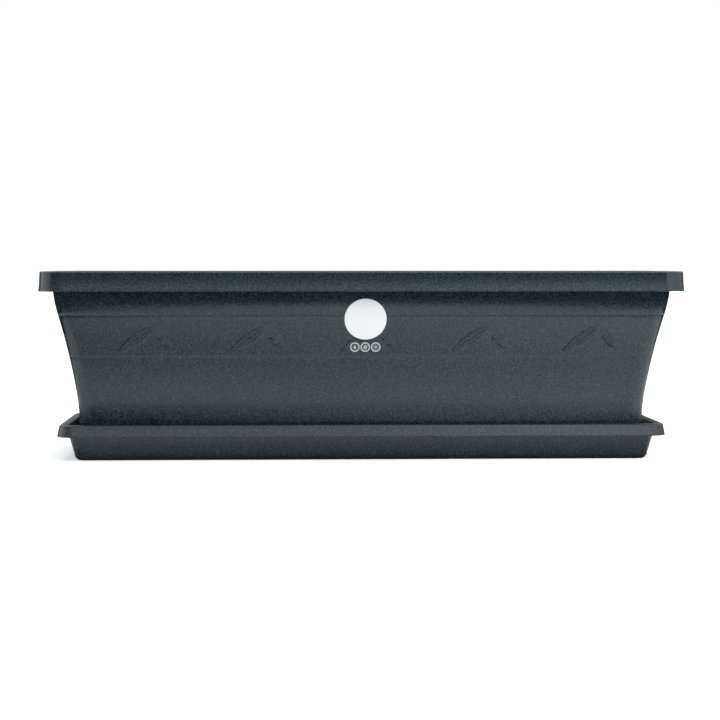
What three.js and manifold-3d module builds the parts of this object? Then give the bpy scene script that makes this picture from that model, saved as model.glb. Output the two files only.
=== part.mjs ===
// A windowsill planter: a long moulded trough that stands in a shallow drip tray.
//
// Millimetres, +Z up, +X along the planter's length, front face towards -Y.
// The origin is on the ground, in the middle of the tray's underside.

import * as THREE from 'three';
import { mergeVertices } from 'three/addons/utils/BufferGeometryUtils.js';
import Module from 'manifold-3d';

const wasm = await Module();
wasm.setup();

// Trough, overall
const RIM_LENGTH = 600; // across the lower edge of the rim, left to right
const RIM_DEPTH = 200; // across the lower edge of the rim, front to back
const TROUGH_HEIGHT = 170; // foot to top of rim
const TROUGH_WALL = 2.4; // wall, flange and base

// Trough, turned-down rim
const RIM_CORNER_RADIUS = 24; // in plan, at the lower edge
const RIM_SKIRT_HEIGHT = 18.5;
const RIM_SKIRT_WALL = 2;
const RIM_SKIRT_FLARE = 1.3; // how far the lower edge stands out past the top
const RIM_EDGE_RADIUS = 2.5;
const RIM_LIP_RADIUS = 0.8; // rounding of the skirt's lower edge and of the mouth
const RIM_RIB_WALL = 1.8; // stiffening ribs between skirt and wall
const RIM_RIB_RISE = 5; // from the skirt's lower edge up to the ribs
const RIM_RIB_PITCH = 80; // the widest spacing of the ribs

// Trough, side walls. Insets are measured inwards from the rim's lower edge.
const WALL_TOP_INSET = 12.35;
const WALL_FOOT_INSET = 36.8;
const WALL_LEAN = 0.27; // inset gained per millimetre of drop, at the upper groove
const WALL_CORNER_RADIUS = 12; // in plan
const UPPER_GROOVE_DROP = 41.3; // from the top of the rim
const LOWER_GROOVE_DROP = 80.2;
const GROOVE_WIDTH = 1.2;
const GROOVE_DEPTH = 0.45;

// Trough, base
const BAR_HEIGHT = 2.4; // from the foot bars' lower side up to the base's edge
const BAR_WIDTH = 5;
const BAR_COUNT = 6; // bars across the underside that keep the drain holes off the tray
const BAR_END_GAP = 1; // from a bar's end to the edge of the base panel
const FOOT_RADIUS = 6;
const FOOT_BAND = 10; // flat band round the base panel
const BASE_RISE = 2; // base panel above that band
const DRAIN_RADIUS = 5;
const DRAIN_ROWS = 2;
const DRAIN_COLUMNS = 5;

// Drip tray
const TRAY_HEIGHT = 34;
const TRAY_WALL = 2.2;
const TRAY_CLEARANCE = 4.1; // round the trough's foot
const TRAY_LEAN = 0.27; // how far the wall leans out per millimetre of height
const TRAY_CORNER_RADIUS = 14; // in plan, at the top of the lip
const TRAY_WALL_CORNER_RADIUS = 10; // in plan, outside the wall
const TRAY_LIP_WIDTH = 8.2;
const TRAY_SKIRT_HEIGHT = 11.2;
const TRAY_SKIRT_WALL = 2;
const TRAY_SKIRT_FLARE = 1.3;
const TRAY_EDGE_RADIUS = 1.2;
const TRAY_FOOT_RADIUS = 6;
const TRAY_FOOT_BAND = 9; // flat band that the tray stands on
const TRAY_BASE_RISE = 3.8; // floor panel above that band, which leaves a gutter round it

// Labels on the front wall
const LABEL_RADIUS = 19.5;
const LABEL_DROP = 44.2; // from the top of the rim to the label's centre
const LABEL_SHIFT = 1.9; // to the right of the middle
const MARK_RADIUS = 4.5;
const MARK_DROP = 70.3;
const MARK_PITCH = 9.7;
const LABEL_THICKNESS = 0.3;

// Gap between pieces that touch, and how far joined solids reach into each other
const SEAT_GAP = 0.3;
const OVERLAP = 0.6;

// Fineness of round stretches
const CORNER_DIVISIONS = 4;
const EDGE_STEPS = 4;
const UPPER_WALL_STEPS = 6;
const LOWER_WALL_STEPS = 11;
const ROUND_SIDES = 40;
const HOLE_SIDES = 20;

const HALF_LENGTH = RIM_LENGTH / 2;
const HALF_DEPTH = RIM_DEPTH / 2;

// Heights in the trough's own frame, which starts under its foot bars
const FOOT_Z = BAR_HEIGHT + FOOT_RADIUS;
const PANEL_Z = BAR_HEIGHT + BASE_RISE;
const FLANGE_Z = TROUGH_HEIGHT - TROUGH_WALL;
const SKIRT_Z = TROUGH_HEIGHT - RIM_SKIRT_HEIGHT;
const UPPER_GROOVE_Z = TROUGH_HEIGHT - UPPER_GROOVE_DROP;
const LOWER_GROOVE_Z = TROUGH_HEIGHT - LOWER_GROOVE_DROP;

// Heights in the tray's frame, which starts on the ground
const TRAY_FLOOR_Z = TRAY_BASE_RISE + TRAY_WALL;
const TROUGH_Z = TRAY_FLOOR_Z + SEAT_GAP;

// Outline of the planter seen from above, drawn in from the rim's lower edge by an inset.
function planOutline(inset, cornerRadius) {
  const x = HALF_LENGTH - inset - cornerRadius;
  const y = HALF_DEPTH - inset - cornerRadius;
  const outline = new THREE.Shape();
  outline.absarc(x, y, cornerRadius, 0, Math.PI / 2);
  outline.absarc(-x, y, cornerRadius, Math.PI / 2, Math.PI);
  outline.absarc(-x, -y, cornerRadius, Math.PI, 1.5 * Math.PI);
  outline.absarc(x, -y, cornerRadius, 1.5 * Math.PI, 2 * Math.PI);
  return outline.getPoints(CORNER_DIVISIONS);
}

// One level of a moulding: its inset, its height and the radius of its corners in plan.
function level(inset, z, cornerRadius) {
  return { inset, z, cornerRadius };
}

// A rounded edge of a moulding's section, about a centre, from one angle to another.
function roundedEdge(inset, z, radius, startAngle, endAngle, cornerRadiusAt) {
  const levels = [];
  for (let step = 0; step <= EDGE_STEPS; step += 1) {
    const angle = THREE.MathUtils.lerp(startAngle, endAngle, step / EDGE_STEPS);
    const edgeInset = inset + radius * Math.cos(angle);
    levels.push(level(edgeInset, z + radius * Math.sin(angle), cornerRadiusAt(edgeInset)));
  }
  return levels;
}

// A closed moulding: the levels run from the underside, round the outside, to the floor inside.
function moulding(levels) {
  const outlines = levels.map(({ inset, cornerRadius }) => planOutline(inset, cornerRadius));
  const count = outlines[0].length;
  const positions = outlines.flatMap((outline, i) => outline.flatMap((p) => [p.x, p.y, levels[i].z]));
  const indices = [];
  for (let i = 0; i + 1 < levels.length; i += 1) {
    for (let k = 0; k < count; k += 1) {
      const near = i * count + k;
      const next = i * count + ((k + 1) % count);
      indices.push(near, next, next + count, near, next + count, near + count);
    }
  }
  const floor = (levels.length - 1) * count;
  for (const [a, b, c] of THREE.ShapeUtils.triangulateShape(outlines[0], [])) {
    indices.push(c, b, a);
  }
  for (const [a, b, c] of THREE.ShapeUtils.triangulateShape(outlines.at(-1), [])) {
    indices.push(floor + a, floor + b, floor + c);
  }
  const geometry = new THREE.BufferGeometry();
  geometry.setAttribute('position', new THREE.Float32BufferAttribute(positions, 3));
  geometry.setIndex(indices);
  return geometry;
}

function toSolid(geometry) {
  const bare = geometry.clone();
  bare.deleteAttribute('normal');
  bare.deleteAttribute('uv');
  const merged = mergeVertices(bare);
  const vertProperties = Float32Array.from(merged.attributes.position.array);
  const triVerts = Uint32Array.from(merged.index.array);
  return new wasm.Manifold(new wasm.Mesh({ numProp: 3, vertProperties, triVerts }));
}

function toMesh(name, solid, material) {
  const { vertProperties, triVerts } = solid.getMesh();
  const geometry = new THREE.BufferGeometry();
  geometry.setAttribute('position', new THREE.BufferAttribute(vertProperties, 3));
  geometry.setIndex(new THREE.BufferAttribute(triVerts, 1));
  geometry.computeVertexNormals();
  const mesh = new THREE.Mesh(geometry, material);
  mesh.name = name;
  return mesh;
}

// Places of a centred row, as a list of positions about 0.
function centredRow(count, pitch) {
  return Array.from({ length: count }, (_, i) => (i - (count - 1) / 2) * pitch);
}

// Inset of the trough wall's outer face. The wall is upright under the rim, leans most at the
// upper groove and comes back to nearly upright at the foot.
function wallInset(z) {
  const upperDrop = FLANGE_Z - UPPER_GROOVE_Z;
  const grooveInset = WALL_TOP_INSET + (WALL_LEAN * upperDrop) / 2;
  if (z > UPPER_GROOVE_Z) {
    return WALL_TOP_INSET + (grooveInset - WALL_TOP_INSET) * ((FLANGE_Z - z) / upperDrop) ** 2;
  }
  const t = (UPPER_GROOVE_Z - z) / UPPER_GROOVE_Z;
  const leanInset = WALL_LEAN * UPPER_GROOVE_Z;
  return grooveInset + leanInset * t + (WALL_FOOT_INSET - grooveInset - leanInset) * t * t;
}

// Heights of the trough wall's levels, foot to flange, leaving room for the foot's rounding.
function wallHeights() {
  const heights = [];
  for (let step = 0; step <= LOWER_WALL_STEPS; step += 1) {
    heights.push(THREE.MathUtils.lerp(FOOT_Z, UPPER_GROOVE_Z, step / LOWER_WALL_STEPS));
  }
  for (let step = 1; step <= UPPER_WALL_STEPS; step += 1) {
    heights.push(THREE.MathUtils.lerp(UPPER_GROOVE_Z, FLANGE_Z, step / UPPER_WALL_STEPS));
  }
  return heights;
}

// Outer face of the trough wall, foot to flange, with its two fine grooves.
function outerWall() {
  const grooves = [LOWER_GROOVE_Z, UPPER_GROOVE_Z];
  const plain = wallHeights().filter((z) => grooves.every((groove) => Math.abs(z - groove) > GROOVE_WIDTH));
  const levels = plain.map((z) => level(wallInset(z), z, WALL_CORNER_RADIUS));
  for (const z of grooves) {
    for (const edge of [z - GROOVE_WIDTH / 2, z + GROOVE_WIDTH / 2]) {
      levels.push(level(wallInset(edge), edge, WALL_CORNER_RADIUS));
    }
    levels.push(level(wallInset(z) + GROOVE_DEPTH, z, WALL_CORNER_RADIUS - GROOVE_DEPTH));
  }
  return levels.sort((a, b) => a.z - b.z);
}

// Insets of the base's edge, of the raised panel's edge below and of its flat underside.
function baseInsets() {
  const foot = wallInset(FOOT_Z) + FOOT_RADIUS;
  const band = foot + FOOT_BAND;
  return { foot, band, panel: band + BASE_RISE };
}

// The trough's section, from the middle of the underside round to the floor inside.
function troughLevels() {
  const insets = baseInsets();
  const rimCorner = (inset) => RIM_CORNER_RADIUS - inset;
  const footCorner = (inset) => Math.max(WALL_CORNER_RADIUS - (inset - WALL_FOOT_INSET), FOOT_RADIUS / 2);
  const innerCorner = WALL_CORNER_RADIUS - TROUGH_WALL;
  const mouthCorner = (inset) => innerCorner - (inset - WALL_TOP_INSET - TROUGH_WALL);
  const skirtInset = RIM_SKIRT_WALL + RIM_SKIRT_FLARE;
  const mouthInset = WALL_TOP_INSET + TROUGH_WALL;
  const innerFootRadius = FOOT_RADIUS - TROUGH_WALL;
  const innerFootInset = wallInset(FOOT_Z) + TROUGH_WALL;
  return [
    level(insets.panel, PANEL_Z, footCorner(insets.panel)),
    level(insets.band, BAR_HEIGHT, footCorner(insets.band)),
    ...roundedEdge(insets.foot, FOOT_Z, FOOT_RADIUS, -Math.PI / 2, -Math.PI, footCorner).slice(0, -1),
    ...outerWall(),
    level(skirtInset, FLANGE_Z, rimCorner(skirtInset)),
    level(RIM_SKIRT_WALL, SKIRT_Z + RIM_LIP_RADIUS, rimCorner(RIM_SKIRT_WALL)),
    level(RIM_SKIRT_WALL - RIM_LIP_RADIUS / 2, SKIRT_Z, rimCorner(RIM_SKIRT_WALL)),
    level(RIM_LIP_RADIUS / 2, SKIRT_Z, rimCorner(0)),
    level(0, SKIRT_Z + RIM_LIP_RADIUS, rimCorner(0)),
    ...roundedEdge(
      RIM_SKIRT_FLARE + RIM_EDGE_RADIUS, TROUGH_HEIGHT - RIM_EDGE_RADIUS, RIM_EDGE_RADIUS,
      Math.PI, Math.PI / 2, rimCorner,
    ),
    ...roundedEdge(
      mouthInset - RIM_LIP_RADIUS, TROUGH_HEIGHT - RIM_LIP_RADIUS, RIM_LIP_RADIUS,
      Math.PI / 2, 0, mouthCorner,
    ),
    ...wallHeights().reverse().map((z) => level(wallInset(z) + TROUGH_WALL, z, innerCorner)),
    ...roundedEdge(
      innerFootInset + innerFootRadius, FOOT_Z, innerFootRadius,
      Math.PI, 1.5 * Math.PI, (inset) => footCorner(inset - TROUGH_WALL) - TROUGH_WALL / 2,
    ).slice(1),
    level(insets.band - TROUGH_WALL / 2, BAR_HEIGHT + TROUGH_WALL, footCorner(insets.band)),
    level(insets.panel - TROUGH_WALL / 2, PANEL_Z + TROUGH_WALL, footCorner(insets.panel)),
  ];
}

// Stiffening ribs in the channel under the rim, square to each side.
function rimRibs() {
  const innerInset = WALL_TOP_INSET + OVERLAP * 2;
  const outerInset = RIM_SKIRT_WALL + RIM_SKIRT_FLARE - OVERLAP;
  const bottom = SKIRT_Z + RIM_RIB_RISE;
  const top = FLANGE_Z + OVERLAP;
  const width = innerInset - outerInset;
  const across = (innerInset + outerInset) / 2;
  const straight = (half) => 2 * (half - RIM_CORNER_RADIUS);
  const row = (half) => {
    const bays = Math.ceil(straight(half) / RIM_RIB_PITCH);
    return centredRow(bays, straight(half) / bays);
  };
  const ribs = [];
  for (const side of [-1, 1]) {
    for (const x of row(HALF_LENGTH)) {
      const rib = new THREE.BoxGeometry(RIM_RIB_WALL, width, top - bottom);
      ribs.push(rib.translate(x, side * (HALF_DEPTH - across), (top + bottom) / 2));
    }
    for (const y of row(HALF_DEPTH)) {
      const rib = new THREE.BoxGeometry(width, RIM_RIB_WALL, top - bottom);
      ribs.push(rib.translate(side * (HALF_LENGTH - across), y, (top + bottom) / 2));
    }
  }
  return ribs;
}

// One round-ended bar under the base panel, sunk into it at its upper side.
function footBar() {
  const reach = HALF_DEPTH - baseInsets().panel - BAR_END_GAP;
  const radius = BAR_WIDTH / 2;
  const outline = new THREE.Shape();
  outline.absarc(0, reach - radius, radius, 0, Math.PI);
  outline.absarc(0, radius - reach, radius, Math.PI, 2 * Math.PI);
  const settings = { depth: PANEL_Z + OVERLAP, bevelEnabled: false, curveSegments: EDGE_STEPS };
  return new THREE.ExtrudeGeometry(outline, settings);
}

// Drain holes through the raised panel of the base.
function drainHoles() {
  const { band } = baseInsets();
  const columnPitch = (2 * (HALF_LENGTH - band)) / DRAIN_COLUMNS;
  const rowPitch = (2 * (HALF_DEPTH - band)) / DRAIN_ROWS;
  const holes = [];
  for (const x of centredRow(DRAIN_COLUMNS, columnPitch)) {
    for (const y of centredRow(DRAIN_ROWS, rowPitch)) {
      const hole = new THREE.CylinderGeometry(DRAIN_RADIUS, DRAIN_RADIUS, 4 * TROUGH_WALL, HOLE_SIDES);
      holes.push(hole.rotateX(Math.PI / 2).translate(x, y, PANEL_Z + TROUGH_WALL / 2));
    }
  }
  return holes;
}

function makeTrough(material) {
  let solid = toSolid(moulding(troughLevels()));
  for (const rib of rimRibs()) {
    solid = solid.add(toSolid(rib));
  }
  const footLength = 2 * (HALF_LENGTH - baseInsets().foot);
  for (const x of centredRow(BAR_COUNT, footLength / BAR_COUNT)) {
    solid = solid.add(toSolid(footBar().translate(x, 0, 0)));
  }
  for (const hole of drainHoles()) {
    solid = solid.subtract(toSolid(hole));
  }
  return toMesh('trough', solid, material);
}

// Inset of the tray wall's inner face at a height above the ground.
function trayInset(z) {
  return WALL_FOOT_INSET - TRAY_CLEARANCE - TRAY_LEAN * (z - TROUGH_Z);
}

// The tray's section, from the middle of the underside round to the floor inside.
function trayLevels() {
  const lipInset = trayInset(TRAY_HEIGHT) - TRAY_LIP_WIDTH;
  const lipCorner = (inset) => TRAY_CORNER_RADIUS - (inset - lipInset);
  const innerCorner = TRAY_WALL_CORNER_RADIUS - TRAY_WALL;
  const flangeZ = TRAY_HEIGHT - TRAY_WALL;
  const skirtZ = TRAY_HEIGHT - TRAY_SKIRT_HEIGHT;
  const outerFootInset = trayInset(TRAY_FOOT_RADIUS) - TRAY_WALL;
  const footInset = outerFootInset + TRAY_FOOT_RADIUS;
  const footCorner = (inset) => Math.max(
    TRAY_WALL_CORNER_RADIUS - (inset - outerFootInset),
    TRAY_FOOT_RADIUS / 2,
  );
  const bandInset = footInset + TRAY_FOOT_BAND;
  const stepInset = bandInset + TRAY_BASE_RISE;
  const skirtEdgeInset = lipInset - TRAY_SKIRT_FLARE;
  const innerFootRadius = TRAY_FOOT_RADIUS - TRAY_WALL;
  const innerFootInset = trayInset(TRAY_FOOT_RADIUS) + innerFootRadius;
  return [
    level(stepInset, TRAY_BASE_RISE, footCorner(stepInset)),
    level(bandInset, 0, footCorner(bandInset)),
    ...roundedEdge(footInset, TRAY_FOOT_RADIUS, TRAY_FOOT_RADIUS, -Math.PI / 2, -Math.PI, footCorner),
    level(trayInset(skirtZ) - TRAY_WALL, skirtZ, TRAY_WALL_CORNER_RADIUS),
    level(trayInset(flangeZ) - TRAY_WALL, flangeZ, TRAY_WALL_CORNER_RADIUS),
    level(lipInset + TRAY_SKIRT_WALL, flangeZ, lipCorner(lipInset + TRAY_SKIRT_WALL)),
    level(skirtEdgeInset + TRAY_SKIRT_WALL, skirtZ, lipCorner(skirtEdgeInset + TRAY_SKIRT_WALL)),
    level(skirtEdgeInset, skirtZ, lipCorner(skirtEdgeInset)),
    ...roundedEdge(
      lipInset + TRAY_EDGE_RADIUS, TRAY_HEIGHT - TRAY_EDGE_RADIUS, TRAY_EDGE_RADIUS,
      Math.PI, Math.PI / 2, lipCorner,
    ),
    ...roundedEdge(
      trayInset(TRAY_HEIGHT) - TRAY_EDGE_RADIUS, TRAY_HEIGHT - TRAY_EDGE_RADIUS, TRAY_EDGE_RADIUS,
      Math.PI / 2, 0, () => innerCorner,
    ),
    ...roundedEdge(
      innerFootInset, TRAY_FOOT_RADIUS, innerFootRadius,
      Math.PI, 1.5 * Math.PI, () => innerCorner,
    ),
    level(bandInset - TRAY_WALL / 2, TRAY_WALL, footCorner(bandInset)),
    level(stepInset - TRAY_WALL / 2, TRAY_FLOOR_Z, footCorner(stepInset)),
  ];
}

function makeTray(material) {
  return toMesh('drip_tray', toSolid(moulding(trayLevels())), material);
}

// A round sticker that follows the front wall: a thin skin in front of the wall, cut by a cylinder
// that stands square to the wall at the sticker's centre.
function makeSticker(name, x, z, radius, material) {
  const front = wallHeights().map((height) => new THREE.Vector2(wallInset(height) - HALF_DEPTH, height));
  const skin = new THREE.Shape([
    ...front.map((p) => new THREE.Vector2(p.x - SEAT_GAP, p.y)),
    ...front.reverse().map((p) => new THREE.Vector2(p.x - SEAT_GAP - LABEL_THICKNESS, p.y)),
  ]);
  const width = 4 * radius;
  const sheet = new THREE.ExtrudeGeometry(skin, { depth: width, bevelEnabled: false });
  const alongX = new THREE.Matrix4().makeBasis(
    new THREE.Vector3(0, 1, 0), new THREE.Vector3(0, 0, 1), new THREE.Vector3(1, 0, 0),
  );
  sheet.applyMatrix4(alongX).translate(x - width / 2, 0, 0);
  const lean = Math.atan2(wallInset(z - radius) - wallInset(z + radius), 2 * radius);
  const cutter = new THREE.CylinderGeometry(radius, radius, width, ROUND_SIDES);
  cutter.rotateX(lean).translate(x, wallInset(z) - HALF_DEPTH, z);
  return toMesh(name, toSolid(sheet).intersect(toSolid(cutter)), material);
}

const slatePlastic = new THREE.MeshStandardMaterial({ color: 0x454d50, roughness: 0.62, metalness: 0 });
const trayPlastic = slatePlastic.clone();
const whiteFilm = new THREE.MeshStandardMaterial({ color: 0xf6f6f4, roughness: 0.45, metalness: 0 });
const greyFilm = new THREE.MeshStandardMaterial({ color: 0xc4c8c8, roughness: 0.5, metalness: 0 });

const trough = new THREE.Group();
trough.position.z = TROUGH_Z;
trough.add(makeTrough(slatePlastic));
trough.add(makeSticker('front_label', LABEL_SHIFT, TROUGH_HEIGHT - LABEL_DROP, LABEL_RADIUS, whiteFilm));
const markNames = ['water_mark', 'leaf_mark', 'sun_mark'];
centredRow(markNames.length, MARK_PITCH).forEach((x, i) => {
  const z = TROUGH_HEIGHT - MARK_DROP;
  trough.add(makeSticker(markNames[i], LABEL_SHIFT + x, z, MARK_RADIUS, greyFilm.clone()));
});

const planter = new THREE.Group();
planter.add(makeTray(trayPlastic));
planter.add(trough);

export default planter;
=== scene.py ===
import math

import bmesh
import bpy
import numpy as np
from mathutils import Matrix, Vector


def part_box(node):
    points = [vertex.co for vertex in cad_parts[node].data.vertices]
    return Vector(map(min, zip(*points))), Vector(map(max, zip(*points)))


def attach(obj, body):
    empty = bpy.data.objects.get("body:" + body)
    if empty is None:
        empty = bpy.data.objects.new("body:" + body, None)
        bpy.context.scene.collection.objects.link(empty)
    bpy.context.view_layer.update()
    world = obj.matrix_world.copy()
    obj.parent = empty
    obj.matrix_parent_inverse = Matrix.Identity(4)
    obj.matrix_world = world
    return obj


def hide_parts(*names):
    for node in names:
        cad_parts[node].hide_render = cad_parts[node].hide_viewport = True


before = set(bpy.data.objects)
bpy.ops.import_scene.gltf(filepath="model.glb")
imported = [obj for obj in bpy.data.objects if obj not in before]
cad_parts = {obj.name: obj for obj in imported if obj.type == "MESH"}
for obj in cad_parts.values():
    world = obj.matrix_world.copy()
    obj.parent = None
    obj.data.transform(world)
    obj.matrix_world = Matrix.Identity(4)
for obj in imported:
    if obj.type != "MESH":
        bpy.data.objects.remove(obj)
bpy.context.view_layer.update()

# Camera
# Just left of the middle, a little above the rim's height and 1.9 m in front of the planter, turned a
# little to the right and dipped, as the planter's own edges in the photograph give it. The lens and the
# sensor are in mm.
MM = 0.001
CAMERA_PLACE = (-79.2 * MM, -1900 * MM, 182.3 * MM)
CAMERA_TURN = math.radians(2.391)
CAMERA_DIP = math.radians(2.772)
FOCAL_LENGTH = 98.27
SENSOR_WIDTH = 36

camera = bpy.data.objects.new("camera", bpy.data.cameras.new("camera"))
camera.data.lens = FOCAL_LENGTH
camera.data.sensor_width = SENSOR_WIDTH
camera.location = CAMERA_PLACE
camera.rotation_euler = (math.pi / 2 - CAMERA_DIP, 0, -CAMERA_TURN)
bpy.context.scene.collection.objects.link(camera)
bpy.context.scene.camera = camera


# Trough
# The long planting box, one moulding of slate-grey plastic: a leaning wall with two hairlines round it, a
# rim that turns down, ribs in the channel under the rim, a base panel with drain holes, and bars beneath.
trough_low, trough_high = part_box("trough")
HALF_LENGTH = trough_high.x
HALF_DEPTH = trough_high.y
TROUGH_WALL = 2.4 * MM
CORNER_SEGMENTS = 12
ROUND_STEPS = 8
SMALL_ROUND_STEPS = 4
SHARP_EDGE = math.radians(38)
AXIS_X, AXIS_Y, AXIS_Z = range(3)
# Places that lie less than this apart count as the same.
CLOSE = 1e-6


def rounded_rectangle(mesh, inset, height, corner_radius):
    """An edge loop: a rectangle drawn in by inset from the rim's lower edge, with round corners."""
    bmesh.ops.create_grid(mesh, x_segments=1, y_segments=1, size=1)
    bmesh.ops.scale(mesh, vec=(HALF_LENGTH - inset, HALF_DEPTH - inset, 1), verts=mesh.verts)
    bmesh.ops.translate(mesh, vec=(0, 0, height), verts=mesh.verts)
    bmesh.ops.bevel(
        mesh, geom=mesh.verts[:], offset=corner_radius, offset_type="OFFSET", segments=CORNER_SEGMENTS,
        affect="VERTICES", profile=0.5, material=-1,
    )
    bmesh.ops.delete(mesh, geom=mesh.faces[:], context="FACES_ONLY")
    return mesh.edges[:]


def extruded_loop(mesh, loop):
    """Extrudes an edge loop in place, and returns the new loop with its vertices."""
    drawn = bmesh.ops.extrude_edge_only(mesh, edges=loop)["geom"]
    verts = [v for v in drawn if isinstance(v, bmesh.types.BMVert)]
    new = set(verts)
    edges = [e for e in drawn if isinstance(e, bmesh.types.BMEdge) and new.issuperset(e.verts)]
    return edges, verts


def corner_centre(side_x, side_y, inset, height, radius):
    """The centre of one of a level's round corners."""
    return Vector((side_x * (HALF_LENGTH - inset - radius), side_y * (HALF_DEPTH - inset - radius), height))


def moulded_shell(levels):
    """A moulding's shell, drawn as a loop through levels of (inset, height, plan corner radius).

    Its first and last loops are left open.
    """
    mesh = bmesh.new()
    loop = rounded_rectangle(mesh, *levels[0])
    for level, next_level in zip(levels, levels[1:]):
        loop, verts = extruded_loop(mesh, loop)
        growth = next_level[2] / level[2]
        for side_x in (-1, 1):
            for side_y in (-1, 1):
                corner = [v for v in verts if v.co.x * side_x > 0 and v.co.y * side_y > 0]
                centre = corner_centre(side_x, side_y, *level)
                shift = corner_centre(side_x, side_y, *next_level) - centre
                bmesh.ops.scale(
                    mesh, vec=(growth, growth, 1), space=Matrix.Translation(-centre), verts=corner,
                )
                bmesh.ops.translate(mesh, vec=shift, verts=corner)
    return mesh


def cut_across(mesh, places, axis):
    """Cuts every face at the given places along an axis, so that long sides have even faces."""
    normal = Vector((0, 0, 0))
    normal[axis] = 1
    for place in places:
        everything = mesh.verts[:] + mesh.edges[:] + mesh.faces[:]
        bmesh.ops.bisect_plane(mesh, geom=everything, dist=CLOSE, plane_co=normal * place, plane_no=normal)


def boundary_at(mesh, height):
    """The open edges of a mesh at one height."""
    return [e for e in mesh.edges if e.is_boundary and all(abs(v.co.z - height) < CLOSE for v in e.verts)]


def fill_panel(mesh, edges):
    """Fills the level panel within an outer loop, and round the rings of any holes."""
    bmesh.ops.triangle_fill(mesh, use_beauty=True, use_dissolve=False, edges=edges, normal=(0, 0, 1))


def join_part(mesh, part):
    """Adds the mesh of a part to another mesh."""
    data = bpy.data.meshes.new("part")
    part.to_mesh(data)
    part.free()
    mesh.from_mesh(data)
    bpy.data.meshes.remove(data)


def mesh_object(name, mesh, materials):
    """Makes an object of a mesh and its materials, and puts it in the scene."""
    data = bpy.data.meshes.new(name)
    mesh.to_mesh(data)
    mesh.free()
    for material in materials:
        data.materials.append(material)
    made = bpy.data.objects.new(name, data)
    bpy.context.scene.collection.objects.link(made)
    return made


def finished_piece(name, mesh, body, nodes, materials):
    """Turns a mesh into a piece that rides on a body in place of its CAD nodes."""
    mesh.normal_update()
    for face in mesh.faces:
        face.smooth = True
    for edge in mesh.edges:
        edge.smooth = edge.calc_face_angle(0) < SHARP_EDGE
    piece = mesh_object(name, mesh, materials)
    even = piece.modifiers.new("even_shading", "WEIGHTED_NORMAL")
    even.keep_sharp = True
    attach(piece, body)
    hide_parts(*nodes)


# The section of the rim, wall and foot. Insets are measured inwards from the rim's lower edge.
RIM_CORNER_RADIUS = 24 * MM
RIM_SKIRT_HEIGHT = 18.5 * MM
RIM_SKIRT_WALL = 2 * MM
RIM_SKIRT_FLARE = 1.3 * MM
SKIRT_BELL = 1.5
RIM_EDGE_RADIUS = 1.4 * MM
SKIRT_EDGE_RADIUS = 0.4 * MM
MOUTH_EDGE_RADIUS = 0.8 * MM
WALL_TOP_INSET = 12.35 * MM
WALL_CORNER_RADIUS = 12 * MM
BAR_HEIGHT = 2.4 * MM
FOOT_RADIUS = 6 * MM
FOOT_BAND = 10 * MM
BASE_RISE = 2 * MM

RIM_TOP_Z = trough_high.z
FLANGE_Z = RIM_TOP_Z - TROUGH_WALL
SKIRT_Z = RIM_TOP_Z - RIM_SKIRT_HEIGHT
BAR_Z = trough_low.z
BASE_Z = BAR_Z + BAR_HEIGHT
FOOT_Z = BASE_Z + FOOT_RADIUS
PANEL_Z = BASE_Z + BASE_RISE

# The lean of the trough wall's outer face at heights from the top down: it is upright under the rim,
# leans most beside the upper hairline and comes back to nearly upright above the foot.
STEEPEST_DROP = 41.3 * MM
STEEPEST_LEAN = 0.27
EASED_Z = 58 * MM
EASED_LEAN = 0.14
UPRIGHT_Z = 39 * MM
FOOT_LEAN = 0.01
WALL_LEANS = (
    (FLANGE_Z, 0),
    (RIM_TOP_Z - STEEPEST_DROP, STEEPEST_LEAN),
    (EASED_Z, EASED_LEAN),
    (UPRIGHT_Z, FOOT_LEAN),
    (BAR_Z, FOOT_LEAN),
)


def wall_inset(height):
    """Inset of the trough wall's outer face, whose lean changes evenly between the heights above."""
    inset = WALL_TOP_INSET
    for (high, high_lean), (low, low_lean) in zip(WALL_LEANS, WALL_LEANS[1:]):
        drop = high - max(height, low)
        if drop > 0:
            inset += drop * (high_lean + (low_lean - high_lean) * drop / (high - low) / 2)
    return inset


def centred_row(count, pitch):
    """Places a pitch apart, with their middle at 0."""
    return [(i - (count - 1) / 2) * pitch for i in range(count)]


# The five leaf sprays stand on the front wall between these heights. Their cells get a finer mesh.
SPRAY_COUNT = 5
SPRAY_PITCH = 103.4 * MM
SPRAY_SHIFT = 4.9 * MM
SPRAY_HALF_WIDTH = 29 * MM
SPRAY_TOP_Z = 127.5 * MM
SPRAY_BOTTOM_Z = 99.5 * MM
spray_middles = [SPRAY_SHIFT + x for x in centred_row(SPRAY_COUNT, SPRAY_PITCH)]

# The two hairlines are fine grooves round the wall, at these drops from the rim's top.
HAIRLINE_WIDTH = 1.4 * MM
UPPER_HAIRLINE_DROP = 40.5 * MM
UPPER_HAIRLINE_DEPTH = 0.32 * MM
LOWER_HAIRLINE_DROP = 79.6 * MM
LOWER_HAIRLINE_DEPTH = 0.14 * MM
hairlines = (
    (RIM_TOP_Z - LOWER_HAIRLINE_DROP, LOWER_HAIRLINE_DEPTH),
    (RIM_TOP_Z - UPPER_HAIRLINE_DROP, UPPER_HAIRLINE_DEPTH),
)

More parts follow.
